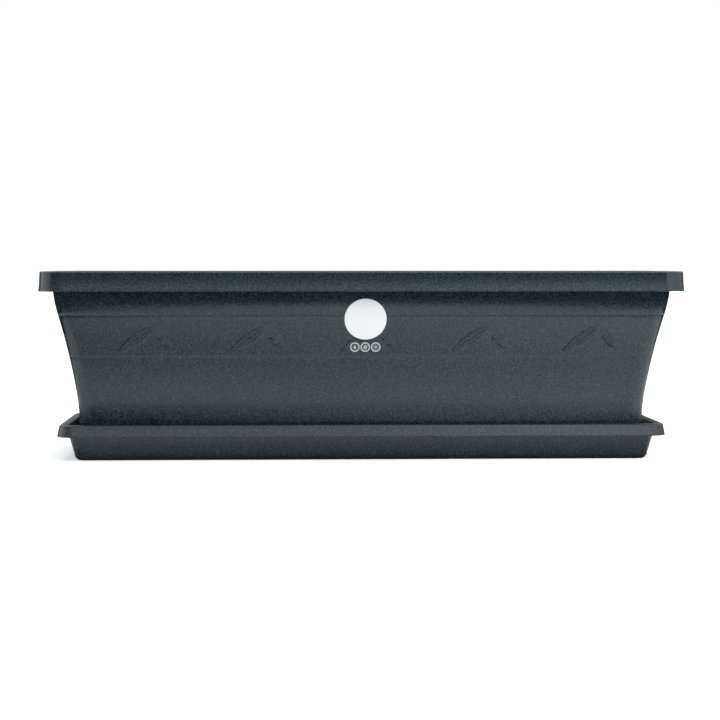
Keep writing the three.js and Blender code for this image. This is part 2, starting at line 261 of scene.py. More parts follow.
WALL_STEP = 4 * MM
wall_heights = [FOOT_Z, SPRAY_BOTTOM_Z, SPRAY_TOP_Z, FLANGE_Z]
wall_heights += np.arange(FOOT_Z + WALL_STEP, FLANGE_Z - WALL_STEP / 2, WALL_STEP).tolist()
wall_heights.sort()
outer_wall = [
    (wall_inset(z), z, WALL_CORNER_RADIUS)
    for z in wall_heights
    if all(abs(z - line) > HAIRLINE_WIDTH for line, depth in hairlines)
]
for line, depth in hairlines:
    for edge in (line - HAIRLINE_WIDTH / 2, line + HAIRLINE_WIDTH / 2):
        outer_wall.append((wall_inset(edge), edge, WALL_CORNER_RADIUS))
    outer_wall.append((wall_inset(line) + depth, line, WALL_CORNER_RADIUS - depth))
outer_wall.sort(key=lambda level: level[1])

flange_inset = RIM_SKIRT_WALL + RIM_SKIRT_FLARE
skirt_low = SKIRT_Z + SKIRT_EDGE_RADIUS
skirt_high = RIM_TOP_Z - RIM_EDGE_RADIUS
inner_corner = WALL_CORNER_RADIUS - TROUGH_WALL
mouth_inset = WALL_TOP_INSET + TROUGH_WALL
mouth_high = RIM_TOP_Z - MOUTH_EDGE_RADIUS
foot_inset = wall_inset(FOOT_Z) + FOOT_RADIUS
band_inset = foot_inset + FOOT_BAND
panel_inset = band_inset + BASE_RISE
inner_foot_radius = FOOT_RADIUS - TROUGH_WALL
inner_foot_inset = wall_inset(FOOT_Z) + TROUGH_WALL


# Plan corner radii of the section's parts, which shrink as their inset grows.
def rim_corner(inset):
    return RIM_CORNER_RADIUS - inset


def mouth_corner(inset):
    return inner_corner - (inset - mouth_inset)


def foot_corner(inset):
    return max(WALL_CORNER_RADIUS - (inset - wall_inset(FOOT_Z)), FOOT_RADIUS / 2)


def inner_foot_corner(inset):
    return foot_corner(inset - TROUGH_WALL) - TROUGH_WALL / 2


def round_edge(inset, height, radius, start, end, corner, steps=ROUND_STEPS):
    """Levels round a rounded edge of a section, about a centre, from one angle in degrees to another."""
    levels = []
    for step in range(steps + 1):
        angle = math.radians(start + (end - start) * step / steps)
        edge_inset = inset + radius * math.cos(angle)
        levels.append((edge_inset, height + radius * math.sin(angle), corner(edge_inset)))
    return levels


def skirt_edge(inset, wall, height, corner):
    """Levels round a skirt's lower edge, from its inner face to its outer face at an inset."""
    radius = SKIRT_EDGE_RADIUS
    return [
        *round_edge(inset + wall - radius, height, radius, 0, -90, corner, SMALL_ROUND_STEPS),
        *round_edge(inset + radius, height, radius, -90, -180, corner, SMALL_ROUND_STEPS),
    ]


def flared_face(low, high, inset, flare, corner, bell=1, steps=ROUND_STEPS):
    """Levels of a skirt's outer face, which flares out to its lower edge. A bell flares more low down."""
    levels = []
    for step in range(1, steps):
        share = step / steps
        step_inset = inset + flare * (1 - (1 - share) ** bell)
        levels.append((step_inset, low + (high - low) * share, corner(step_inset)))
    return levels


trough_mesh = moulded_shell([
    (panel_inset, PANEL_Z, foot_corner(panel_inset)),
    (band_inset, BASE_Z, foot_corner(band_inset)),
    *round_edge(foot_inset, FOOT_Z, FOOT_RADIUS, -90, -180, foot_corner)[:-1],
    *outer_wall,
    (flange_inset, FLANGE_Z, rim_corner(flange_inset)),
    *skirt_edge(0, RIM_SKIRT_WALL, skirt_low, rim_corner),
    *flared_face(skirt_low, skirt_high, 0, RIM_SKIRT_FLARE, rim_corner, SKIRT_BELL),
    *round_edge(RIM_SKIRT_FLARE + RIM_EDGE_RADIUS, skirt_high, RIM_EDGE_RADIUS, 180, 90, rim_corner),
    *round_edge(mouth_inset - MOUTH_EDGE_RADIUS, mouth_high, MOUTH_EDGE_RADIUS, 90, 0, mouth_corner),
    *[(wall_inset(z) + TROUGH_WALL, z, inner_corner) for z in reversed(wall_heights)],
    *round_edge(
        inner_foot_inset + inner_foot_radius, FOOT_Z, inner_foot_radius, 180, 270, inner_foot_corner,
    )[1:],
    (band_inset - TROUGH_WALL / 2, BASE_Z + TROUGH_WALL, foot_corner(band_inset)),
    (panel_inset - TROUGH_WALL / 2, PANEL_Z + TROUGH_WALL, foot_corner(panel_inset)),
])

# Even stations along the sides, with one at each edge of a spray's cell.
STATION_PITCH = 25 * MM
STATION_CLEARANCE = 2 * MM
TROUGH_STATIONS = 23
END_STATIONS = 5
stations = [middle + side * SPRAY_HALF_WIDTH for middle in spray_middles for side in (-1, 1)]
stations += [
    x for x in centred_row(TROUGH_STATIONS, STATION_PITCH)
    if all(abs(x - middle) > SPRAY_HALF_WIDTH + STATION_CLEARANCE for middle in spray_middles)
]
cut_across(trough_mesh, sorted(stations), AXIS_X)
cut_across(trough_mesh, centred_row(END_STATIONS, STATION_PITCH), AXIS_Y)

# Leaf sprays in low relief on the front wall: a long raised leaf that hangs to the left and a lobed sunk
# one to the right. Points are in mm from the foot of the spray's middle, with x to the right and z up.
# Widths, in mm, lobes and beads are those of the leaf's two halves.
SPRAY_FOOT_Z = 101 * MM
RELIEF_HEIGHT = 0.54 * MM
RELIEF_STEP = 0.4 * MM
COARSE_EDGE = 1 * MM
LONG_LEAF = {
    "start": (9.4, 24), "bend": (-4.6, 13.4), "tip": (-26.3, 0.4),
    "widths": (5.2, 5.6), "lobes": (0, 0), "lift": 0.3, "beads": (0.35, 0.45),
}
LOBED_LEAF = {
    "start": (9.6, 24.2), "bend": (19, 15.5), "tip": (26.6, 1),
    "widths": (3.6, 7), "lobes": (2, 3), "lift": -0.65, "beads": (0, 0.3),
}

# The soft edge of a leaf, the bead along it, the midrib and the side veins. Widths and insets are in mm,
# heights are shares of the relief's height, and the other values are shares or powers without a unit.
MIDRIB_POINTS = 61
END_REACH = 1.5
BROAD_END_POWER = 0.9
BLUNT_POWER = 0.8
LOBE_DEPTH = 0.2
LEAF_EDGE = 0.8
BEAD_INSET = 0.8
BEAD_WIDTH = 0.55
RIB_WIDTH = 0.6
RIB_HEIGHT = 0.5
VEIN_PLACE = 0.5
VEIN_WIDTH = 0.5
VEIN_HEIGHT = 0.35


def soft_step(value):
    """Rises softly from 0 at 0 to 1 at 1."""
    value = np.clip(value, 0, 1)
    return value * value * (3 - 2 * value)


def ridge(away, width):
    """A soft ridge, 1 at its middle, at distances away from it."""
    return np.exp(-(away / width) ** 2)


def leaf_relief(points, leaf):
    """Relief of one leaf at points, as a share of the full height.

    It comes from each point's place along and beside the leaf's midrib, a curve that its bend draws aside.
    """
    start, bend, tip = (np.array(leaf[name]) for name in ("start", "bend", "tip"))
    along = np.linspace(0, 1, MIDRIB_POINTS)[:, None]
    midrib = (1 - along) ** 2 * start + 2 * along * (1 - along) * bend + along ** 2 * tip
    direction = 2 * (1 - along) * (bend - start) + 2 * along * (tip - bend)
    length = np.linalg.norm(direction, axis=1)
    reach = points[:, None, :] - midrib[None, :, :]
    nearest = (reach ** 2).sum(2).argmin(1)
    reach = reach[np.arange(len(points)), nearest]
    direction = direction[nearest] / length[nearest, None]
    forward = (reach * direction).sum(1)
    beside = reach[:, 0] * direction[:, 1] - reach[:, 1] * direction[:, 0]
    place = np.clip(along[nearest, 0] + forward / length[nearest], 0, 1)
    half = (beside > 0).astype(int)
    width = np.array(leaf["widths"])[half] * np.sin(math.pi * place ** BROAD_END_POWER) ** BLUNT_POWER
    width *= 1 - LOBE_DEPTH * np.abs(np.sin(math.pi * np.array(leaf["lobes"])[half] * place))
    from_rim = width - np.abs(beside)
    inside = np.where(np.abs(forward) > END_REACH, 0, soft_step(from_rim / LEAF_EDGE))
    bead = ridge(from_rim - BEAD_INSET, BEAD_WIDTH) * np.array(leaf["beads"])[half]
    rib = RIB_HEIGHT * ridge(beside, RIB_WIDTH) * (1 - np.abs(bead))
    vein = VEIN_HEIGHT * ridge(np.abs(beside) - VEIN_PLACE * width, VEIN_WIDTH)
    return inside * (leaf["lift"] + bead + rib + vein)


ON_WALL = 0.02 * MM
SLOPE_REACH = 1 * MM


def place_on_wall(x, z, height):
    """The point that stands a height off the front wall at x and z."""
    lean = math.atan2(wall_inset(z - SLOPE_REACH) - wall_inset(z + SLOPE_REACH), 2 * SLOPE_REACH)
    return Vector((x, wall_inset(z) - HALF_DEPTH - height * math.cos(lean), z - height * math.sin(lean)))


def spray_cell(middle):
    """The vertices of the front wall in one spray's cell."""
    return [
        v for v in trough_mesh.verts
        if abs(v.co.x - middle) < SPRAY_HALF_WIDTH + CLOSE
        and SPRAY_BOTTOM_Z - CLOSE < v.co.z < SPRAY_TOP_Z + CLOSE
        and abs(v.co.y + HALF_DEPTH - wall_inset(v.co.z)) < ON_WALL
    ]


# The wall stays smooth under the stickers, so that they lie flat.
STICKER_CLEARANCE = 1.2 * MM
label_low, label_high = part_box("front_label")
stickers = [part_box(node) for node in ("front_label", "water_mark", "leaf_mark", "sun_mark")]


def under_sticker(x, z):
    return any(
        math.hypot(x - (low.x + high.x) / 2, z - (low.z + high.z) / 2)
        < (high.x - low.x) / 2 + STICKER_CLEARANCE
        for low, high in stickers
    )


for middle in spray_middles:
    for axis in (AXIS_X, AXIS_Z):
        cell = set(spray_cell(middle))
        edges = [
            e for v in cell for e in v.link_edges
            if e.verts[0] is v and e.verts[1] in cell
            and abs(e.verts[0].co[axis] - e.verts[1].co[axis]) > COARSE_EDGE
        ]
        cuts = math.ceil(max(e.calc_length() for e in edges) / RELIEF_STEP) - 1
        bmesh.ops.subdivide_edges(trough_mesh, edges=edges, cuts=cuts)
    cell = spray_cell(middle)
    points = np.array([(v.co.x - middle, v.co.z - SPRAY_FOOT_Z) for v in cell]) / MM
    heights = leaf_relief(points, LONG_LEAF) + leaf_relief(points, LOBED_LEAF)
    for vert, height in zip(cell, heights):
        if height and not under_sticker(vert.co.x, vert.co.z):
            vert.co = place_on_wall(vert.co.x, vert.co.z, height * RELIEF_HEIGHT)

# Drain holes through the base panel, with broken edges, and then the panel round them.
DRAIN_RADIUS = 5 * MM
DRAIN_EDGE = 0.4 * MM
DRAIN_SEGMENTS = 32
DRAIN_ROWS = 2
DRAIN_COLUMNS = 5
floor_z = PANEL_Z + TROUGH_WALL
mouth_radius = DRAIN_RADIUS + DRAIN_EDGE
hole_levels = (
    (PANEL_Z + DRAIN_EDGE, DRAIN_RADIUS), (floor_z - DRAIN_EDGE, DRAIN_RADIUS), (floor_z, mouth_radius),
)
lower_rings, upper_rings = [], []
for x in centred_row(DRAIN_COLUMNS, 2 * (HALF_LENGTH - band_inset) / DRAIN_COLUMNS):
    for y in centred_row(DRAIN_ROWS, 2 * (HALF_DEPTH - band_inset) / DRAIN_ROWS):
        ring = bmesh.ops.create_circle(
            trough_mesh, cap_ends=False, segments=DRAIN_SEGMENTS, radius=mouth_radius,
            matrix=Matrix.Translation((x, y, PANEL_Z)),
        )["verts"]
        loop = list({e for v in ring for e in v.link_edges})
        lower_rings += loop
        height, radius = PANEL_Z, mouth_radius
        for next_height, next_radius in hole_levels:
            loop, verts = extruded_loop(trough_mesh, loop)
            growth = next_radius / radius
            from_hole = Matrix.Translation((-x, -y, -height))
            bmesh.ops.scale(trough_mesh, vec=(growth, growth, 1), space=from_hole, verts=verts)
            bmesh.ops.translate(trough_mesh, vec=(0, 0, next_height - height), verts=verts)
            height, radius = next_height, next_radius
        upper_rings += loop
for height, rings in ((PANEL_Z, lower_rings), (floor_z, upper_rings)):
    fill_panel(trough_mesh, list(set(boundary_at(trough_mesh, height)) | set(rings)))

# Ribs across the channel under the rim, and bars under the base panel, sunk into the moulding.
RIM_RIB_WALL = 1.8 * MM
RIM_RIB_RISE = 5 * MM
RIM_RIB_PITCH = 80 * MM
RIM_RIB_EDGE = 0.4 * MM
BAR_WIDTH = 5 * MM
BAR_EDGE = 0.5 * MM
BAR_END_RADIUS = 0.49 * BAR_WIDTH
BAR_COUNT = 6
BAR_END_GAP = 1 * MM
SUNK = 0.6 * MM
END_SEGMENTS = 6
EDGE_SEGMENTS = 2


def soft_block(mesh, low, high, edge, end_radius=0):
    """A block between two corners with soft lower edges and, with an end radius, upright round ones."""
    low, high = Vector(low), Vector(high)
    middle, size = (low + high) / 2, high - low
    place = Matrix.Translation(middle) @ Matrix.Diagonal((*size, 1))
    verts = bmesh.ops.create_cube(mesh, size=1, matrix=place)["verts"]
    if end_radius:
        block_edges = {e for v in verts for e in v.link_edges}
        upright = [e for e in block_edges if abs(e.verts[0].co.z - e.verts[1].co.z) > CLOSE]
        bmesh.ops.bevel(
            mesh, geom=upright, offset=end_radius, segments=END_SEGMENTS, affect="EDGES", profile=0.5,
            material=-1,
        )
    bottom = [
        e for e in mesh.edges
        if all(
            abs(v.co.z - low.z) < CLOSE
            and abs(v.co.x - middle.x) < size.x
            and abs(v.co.y - middle.y) < size.y
            for v in e.verts
        )
    ]
    bmesh.ops.bevel(
        mesh, geom=bottom, offset=edge, segments=EDGE_SEGMENTS, affect="EDGES", profile=0.5, material=-1,
    )


def rib_row(half):
    """Places of the ribs along a side, from its half length."""
    straight = 2 * (half - RIM_CORNER_RADIUS)
    bays = math.ceil(straight / RIM_RIB_PITCH)
    return centred_row(bays, straight / bays)


ribs_and_bars = bmesh.new()
rib_inner = WALL_TOP_INSET + 2 * SUNK
rib_outer = flange_inset - SUNK
rib_low, rib_high = SKIRT_Z + RIM_RIB_RISE, FLANGE_Z + SUNK
half_rib = RIM_RIB_WALL / 2
for side in (-1, 1):
    for x in rib_row(HALF_LENGTH):
        ends = sorted((side * (HALF_DEPTH - rib_inner), side * (HALF_DEPTH - rib_outer)))
        rib_corners = (x - half_rib, ends[0], rib_low), (x + half_rib, ends[1], rib_high)
        soft_block(ribs_and_bars, *rib_corners, RIM_RIB_EDGE)
    for y in rib_row(HALF_DEPTH):
        ends = sorted((side * (HALF_LENGTH - rib_inner), side * (HALF_LENGTH - rib_outer)))
        rib_corners = (ends[0], y - half_rib, rib_low), (ends[1], y + half_rib, rib_high)
        soft_block(ribs_and_bars, *rib_corners, RIM_RIB_EDGE)
bar_reach = HALF_DEPTH - panel_inset - BAR_END_GAP
for x in centred_row(BAR_COUNT, 2 * (HALF_LENGTH - foot_inset) / BAR_COUNT):
    bar_low = (x - BAR_WIDTH / 2, -bar_reach, BAR_Z)
    bar_high = (x + BAR_WIDTH / 2, bar_reach, PANEL_Z + SUNK)
    soft_block(ribs_and_bars, bar_low, bar_high, BAR_EDGE, BAR_END_RADIUS)
join_part(trough_mesh, ribs_and_bars)
bmesh.ops.recalc_face_normals(trough_mesh, faces=trough_mesh.faces[:])


def set_inputs(tree, node, inputs):
    """Gives a node's inputs, by name or number, their plain values or the sockets that feed them."""
    for key, value in inputs.items():
        if isinstance(value, bpy.types.NodeSocket):
            tree.links.new(value, node.inputs[key])
        else:
            node.inputs[key].default_value = value


def add_node(tree, kind, settings=None, **inputs):
    """Adds a shader node. An underscore in an input's name stands for a space."""
    node = tree.nodes.new("ShaderNode" + kind)
    for name, value in (settings or {}).items():
        setattr(node, name, value)
    set_inputs(tree, node, {name.replace("_", " "): value for name, value in inputs.items()})
    return node


def calculate(tree, operation, *values, kind="Math"):
    """The result of a maths node, from its values in the node's order."""
    node = add_node(tree, kind, {"operation": operation})
    set_inputs(tree, node, dict(enumerate(values)))
    return node.outputs[0]


def colour_ramp(tree, share, stops):
    """The colour at a share from 0 to 1, between stops of (place, colour)."""
    ramp = add_node(tree, "ValToRGB", Fac=share)
    elements = ramp.color_ramp.elements
    for place, colour in stops[1:-1]:
        elements.new(place)
    for element, (place, colour) in zip(elements, stops):
        element.position = place
        element.color = (*colour, 1)
    return ramp.outputs["Color"]


# Most of a noise lies between these values.
NOISE_LOW = 0.3
NOISE_HIGH = 0.7


def spread(tree, noise, middle, reach):
    """Spreads a noise to either side of a middle value."""
    node = add_node(
        tree, "MapRange", Value=noise, From_Min=NOISE_LOW, From_Max=NOISE_HIGH,
        To_Min=middle - reach, To_Max=middle + reach,
    )
    return node.outputs[0]


def shader_group(name, inputs, outputs):
    """An empty shader node group, with a kind for each named input and output."""
    group = bpy.data.node_groups.new(name, "ShaderNodeTree")
    for in_out, sockets in (("INPUT", inputs), ("OUTPUT", outputs)):
        for socket_name, kind in sockets.items():
            group.interface.new_socket(socket_name, in_out=in_out, socket_type="NodeSocket" + kind)
    return group, group.nodes.new("NodeGroupInput").outputs, group.nodes.new("NodeGroupOutput")


def new_material(name):
    """A new material with its node tree and its shader."""
    material = bpy.data.materials.new(name)
    material.use_nodes = True
    return material, material.node_tree, material.node_tree.nodes["Principled BSDF"]


# Moulded grain: the fine sandy texture that the mould leaves in the plastic, the specks of pigment in it
# and the broad, faint cloudiness where the melt flowed. The specks' hue is read from the noise at another
# place, so that it doesn't follow their shade.
PIT_SHARE = 0.6
HUE_SHIFT = (0.31, 0.17, 0.23)
CLOUDS_PER_METRE = 14.0

grain_group, given, result = shader_group(
    "moulded_grain", {"Place": "Vector", "Grain size": "Float", "Speck size": "Float"},
    {"Height": "Float", "Specks": "Float", "Hue": "Float", "Clouds": "Float"},
)
here = given["Place"]
elsewhere = calculate(grain_group, "ADD", here, HUE_SHIFT, kind="VectorMath")
per_grain = calculate(grain_group, "DIVIDE", 1.0, given["Grain size"])
per_speck = calculate(grain_group, "DIVIDE", 1.0, given["Speck size"])
coarse = add_node(grain_group, "TexNoise", Vector=here, Scale=per_grain, Detail=3.0, Roughness=0.6)
pits = add_node(
    grain_group, "TexVoronoi", {"feature": "SMOOTH_F1"}, Vector=here, Scale=per_grain, Smoothness=0.6,
)
specks = add_node(grain_group, "TexNoise", Vector=here, Scale=per_speck, Detail=2.0, Roughness=0.7)
hue = add_node(grain_group, "TexNoise", Vector=elsewhere, Scale=per_speck, Detail=1.0, Roughness=0.6)
clouds = add_node(grain_group, "TexNoise", Vector=here, Scale=CLOUDS_PER_METRE, Detail=2.0, Roughness=0.5)
pitted = calculate(grain_group, "MULTIPLY_ADD", pits.outputs["Distance"], PIT_SHARE, coarse.outputs[0])
set_inputs(grain_group, result, {
    "Height": pitted, "Specks": specks.outputs[0], "Hue": hue.outputs[0], "Clouds": clouds.outputs[0],
})


def moulded_grain(tree, grain_size, speck_size):
    """The grain of a surface, with its grains and specks at that surface's own sizes."""
    place = add_node(tree, "TexCoord").outputs["Object"]
    grain = add_node(
        tree, "Group", {"node_tree": grain_group},
        Place=place, Grain_size=grain_size, Speck_size=speck_size,
    )
    return grain.outputs


SLATE_DARK = (0.005, 0.01, 0.0125)
SLATE = (0.0125, 0.0205, 0.025)
SLATE_LIGHT = (0.032, 0.045, 0.053)
GREEN_CAST = (0.78, 1.08, 0.98)
PURPLE_CAST = (1.22, 0.92, 1.06)
SPECK_STOPS = ((0.36, SLATE_DARK), (0.5, SLATE), (0.66, SLATE_LIGHT))
CAST_STOPS = ((0.38, GREEN_CAST), (0.62, PURPLE_CAST))
CLOUD_SHADE = 0.08
SLATE_ROUGHNESS = 0.18
SLATE_ROUGHNESS_REACH = 0.03
SLATE_SPECULAR = 0.49
GRAIN_SIZE = 0.7 * MM
SPECK_SIZE = 1.5 * MM
GRAIN_DEPTH = 0.018 * MM
GRAIN_STRENGTH = 0.5


def slate_plastic(name):
    """Slate-grey plastic with a sandy moulded grain."""
    material, tree, shader = new_material(name)
    grain = moulded_grain(tree, GRAIN_SIZE, SPECK_SIZE)
    speck_colour = colour_ramp(tree, grain["Specks"], SPECK_STOPS)
    cast = colour_ramp(tree, grain["Hue"], CAST_STOPS)
    tinted = calculate(tree, "MULTIPLY", speck_colour, cast, kind="VectorMath")
    shade = spread(tree, grain["Clouds"], 1, CLOUD_SHADE)
    colour = add_node(tree, "VectorMath", {"operation": "SCALE"}, Vector=tinted, Scale=shade)
    grainy = add_node(tree, "Bump", Strength=GRAIN_STRENGTH, Distance=GRAIN_DEPTH, Height=grain["Height"])
    set_inputs(tree, shader, {
        "Base Color": colour.outputs[0],
        "Roughness": spread(tree, grain["Specks"], SLATE_ROUGHNESS, SLATE_ROUGHNESS_REACH),
        "Specular IOR Level": SLATE_SPECULAR,
        "Normal": grainy.outputs[0],
    })
    return material


finished_piece(
    "planter_trough", trough_mesh, "trough", ["trough"],
    [slate_plastic("trough_plastic")],
)


# Drip tray
# The shallow tray under the trough, the same plastic: a leaning wall with a turned-down lip, and a floor
# panel that is raised above the band it stands on, with a gutter round it.
TRAY_TOP_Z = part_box("drip_tray")[1].z
TRAY_WALL = 2.2 * MM
TRAY_INNER_INSET = 32.7 * MM
TRAY_LEAN = 0.27
TRAY_CORNER_RADIUS = 14 * MM
TRAY_WALL_CORNER_RADIUS = 10 * MM
TRAY_LIP_WIDTH = 7.8 * MM
TRAY_SKIRT_HEIGHT = 11.2 * MM
TRAY_SKIRT_WALL = 2 * MM
TRAY_SKIRT_FLARE = 1.8 * MM
TRAY_EDGE_RADIUS = 2 * MM
TRAY_INNER_EDGE_RADIUS = 2.2 * MM
TRAY_FOOT_RADIUS = 6 * MM
TRAY_FOOT_BAND = 9 * MM
TRAY_BASE_RISE = 3.8 * MM
TRAY_WALL_STEPS = 4
TRAY_STATIONS = 21


def tray_inset(height):
    """Inset of the tray wall's inner face, which leans out from its place at the height of the bars."""
    return TRAY_INNER_INSET - TRAY_LEAN * (height - BAR_Z)


lip_inset = tray_inset(TRAY_TOP_Z) - TRAY_LIP_WIDTH
tray_skirt_inset = lip_inset - TRAY_SKIRT_FLARE
tray_skirt_low = TRAY_TOP_Z - TRAY_SKIRT_HEIGHT + SKIRT_EDGE_RADIUS
tray_skirt_high = TRAY_TOP_Z - TRAY_EDGE_RADIUS
tray_flange_inset = lip_inset + TRAY_SKIRT_WALL
tray_flange_z = TRAY_TOP_Z - TRAY_WALL
tray_mouth_inset = tray_inset(TRAY_TOP_Z) - TRAY_INNER_EDGE_RADIUS
tray_mouth_high = TRAY_TOP_Z - TRAY_INNER_EDGE_RADIUS
tray_outer_foot = tray_inset(TRAY_FOOT_RADIUS) - TRAY_WALL
tray_foot_inset = tray_outer_foot + TRAY_FOOT_RADIUS
tray_band_inset = tray_foot_inset + TRAY_FOOT_BAND
tray_panel_inset = tray_band_inset + TRAY_BASE_RISE
tray_inner_foot = TRAY_FOOT_RADIUS - TRAY_WALL


# Plan corner radii of the tray's section.
def lip_corner(inset):
    return TRAY_CORNER_RADIUS - (inset - lip_inset)


def tray_foot_corner(inset):
    return max(TRAY_WALL_CORNER_RADIUS - (inset - tray_outer_foot), TRAY_FOOT_RADIUS / 2)


def tray_inner_corner(inset):
    return TRAY_WALL_CORNER_RADIUS - TRAY_WALL


tray_heights = np.linspace(TRAY_FOOT_RADIUS, tray_flange_z, TRAY_WALL_STEPS + 1).tolist()
tray_mesh = moulded_shell([
    (tray_panel_inset, TRAY_BASE_RISE, tray_foot_corner(tray_panel_inset)),
    (tray_band_inset, 0, tray_foot_corner(tray_band_inset)),
    *round_edge(tray_foot_inset, TRAY_FOOT_RADIUS, TRAY_FOOT_RADIUS, -90, -180, tray_foot_corner),
    *[(tray_inset(z) - TRAY_WALL, z, TRAY_WALL_CORNER_RADIUS) for z in tray_heights[1:]],
    (tray_flange_inset, tray_flange_z, lip_corner(tray_flange_inset)),
    *skirt_edge(tray_skirt_inset, TRAY_SKIRT_WALL, tray_skirt_low, lip_corner),
    *flared_face(tray_skirt_low, tray_skirt_high, tray_skirt_inset, TRAY_SKIRT_FLARE, lip_corner),
    *round_edge(lip_inset + TRAY_EDGE_RADIUS, tray_skirt_high, TRAY_EDGE_RADIUS, 180, 90, lip_corner),
    *round_edge(tray_mouth_inset, tray_mouth_high, TRAY_INNER_EDGE_RADIUS, 90, 0, tray_inner_corner),
    *[(tray_inset(z), z, tray_inner_corner(tray_inset(z))) for z in reversed(tray_heights[1:-1])],
    *round_edge(
        tray_inset(TRAY_FOOT_RADIUS) + tray_inner_foot, TRAY_FOOT_RADIUS, tray_inner_foot, 180, 270,
        tray_inner_corner,
    ),
    (tray_band_inset - TRAY_WALL / 2, TRAY_WALL, tray_foot_corner(tray_band_inset)),
    (tray_panel_inset - TRAY_WALL / 2, TRAY_BASE_RISE + TRAY_WALL, tray_foot_corner(tray_panel_inset)),
])
cut_across(tray_mesh, centred_row(TRAY_STATIONS, STATION_PITCH), AXIS_X)
cut_across(tray_mesh, centred_row(END_STATIONS, STATION_PITCH), AXIS_Y)
for height in (TRAY_BASE_RISE, TRAY_BASE_RISE + TRAY_WALL):
    fill_panel(tray_mesh, boundary_at(tray_mesh, height))
bmesh.ops.recalc_face_normals(tray_mesh, faces=tray_mesh.faces[:])
finished_piece(
    "planter_tray", tray_mesh, "tray", ["drip_tray"], [slate_plastic("tray_plastic")],
)


# Front label
# A round sticker of satin white film on the front wall, just right of the middle, pressed flat to the
# wall's curve. Its face is left bare.
FILM_GAP = 0.02 * MM
FILM_CUT = 1.5 * MM
EDGE_BREAK = 0.3
LABEL_THICKNESS = 0.22 * MM
LABEL_EDGE = 0.1 * MM
LABEL_SEGMENTS = 128
label_middle = (label_low + label_high) / 2
label_half_width = (label_high.x - label_low.x) / 2
label_half_height = (label_high.z - label_low.z) / 2


def film_disc(mesh, half_width, half_height, back, face, edge, segments):
    """A closed thin disc round the origin, facing -Y, between two distances off the wall."""
    made = bmesh.ops.create_circle(
        mesh, cap_ends=True, segments=segments, radius=1, matrix=Matrix.Rotation(math.pi / 2, 4, "X"),
    )
    bmesh.ops.scale(mesh, vec=(half_width, 1, half_height), verts=made["verts"])
    bmesh.ops.translate(mesh, vec=(0, -back, 0), verts=made["verts"])
    loop = list({e for v in made["verts"] for e in v.link_edges})
    reach, depth = 1, back
    broken = EDGE_BREAK * edge
    for inwards, next_depth in ((0, face - edge), (broken, face - broken), (edge, face)):
        loop, verts = extruded_loop(mesh, loop)
        next_reach = 1 - inwards / half_width
        growth = next_reach / reach
        bmesh.ops.scale(mesh, vec=(growth, 1, growth), verts=verts)
        bmesh.ops.translate(mesh, vec=(0, depth - next_depth, 0), verts=verts)
        reach, depth = next_reach, next_depth
    bmesh.ops.edgeloop_fill(mesh, edges=loop)


def press_on_wall(mesh, x, z):
    """Presses a flat mesh that faces -Y to the front wall's curve, with its origin at x and z."""
    reach = max(v.co.z for v in mesh.verts)
    count = math.floor(reach / FILM_CUT)
    rows = [row * FILM_CUT for row in range(-count, count + 1)]
    cut_across(mesh, [row for row in rows if abs(row) < reach], AXIS_Z)
    bmesh.ops.recalc_face_normals(mesh, faces=mesh.faces[:])
    for vert in mesh.verts:
        vert.co = place_on_wall(x + vert.co.x, z + vert.co.z, -vert.co.y)


label_mesh = bmesh.new()
film_disc(
    label_mesh, label_half_width, label_half_height, FILM_GAP, FILM_GAP + LABEL_THICKNESS, LABEL_EDGE,
    LABEL_SEGMENTS,
)
press_on_wall(label_mesh, label_middle.x, label_middle.z)

# Printed film: one colour, hardly uneven, under a satin skin with a faint orange peel.
WHITE_FILM = (0.83, 0.83, 0.82)
WHITE_FILM_ROUGHNESS = 0.42
FILM_ROUGHNESS_REACH = 0.05
PEEL_SIZE = 2.4 * MM
PEEL_DEPTH = 0.03 * MM
PEEL_STRENGTH = 0.3
FLECK_SIZE = 1.1 * MM
FLECK_SHADE = 0.97
FLECKED_BELOW = 0.3
PLAIN_ABOVE = 0.6


def printed_film(name, colour, roughness):
    """Thin self-adhesive film in one printed colour, with slightly darker flecks."""
    material, tree, shader = new_material(name)
    grain = moulded_grain(tree, PEEL_SIZE, FLECK_SIZE)
    fleck = [FLECK_SHADE * part for part in colour]
    fleck_stops = ((FLECKED_BELOW, fleck), (PLAIN_ABOVE, colour))
    skin = add_node(tree, "Bump", Strength=PEEL_STRENGTH, Distance=PEEL_DEPTH, Height=grain["Height"])
    set_inputs(tree, shader, {
        "Base Color": colour_ramp(tree, grain["Specks"], fleck_stops),
        "Roughness": spread(tree, grain["Clouds"], roughness, FILM_ROUGHNESS_REACH),
        "Normal": skin.outputs[0],
    })
    return material


white_film = printed_film("white_film", WHITE_FILM, WHITE_FILM_ROUGHNESS)
finished_piece("planter_label", label_mesh, "trough", ["front_label"], [white_film])


# Care marks
# Three small round film marks in a row under the label: a light grey ring and symbol on a dark field,
# for water, leaf and sun.
MARK_THICKNESS = 0.1 * MM
MARK_EDGE = 0.04 * MM
MARK_SEGMENTS = 64
PRINT_THICKNESS = 0.03 * MM
PRINT_EDGE = 0.01 * MM
PRINT_SUNK = 0.01 * MM
FIELD_RADIUS = 3.3 * MM
SYMBOL_SEGMENTS = 40
GREY_FILM = (0.44, 0.48, 0.48)
GREY_FILM_ROUGHNESS = 0.5
DARK_INK = (0.03, 0.038, 0.043)
DARK_INK_ROUGHNESS = 0.45
INK_SLOT = 1

field_back = FILM_GAP + MARK_THICKNESS - PRINT_SUNK
field_face = FILM_GAP + MARK_THICKNESS + PRINT_THICKNESS
symbol_back = field_face - PRINT_SUNK
symbol_face = field_face + PRINT_THICKNESS


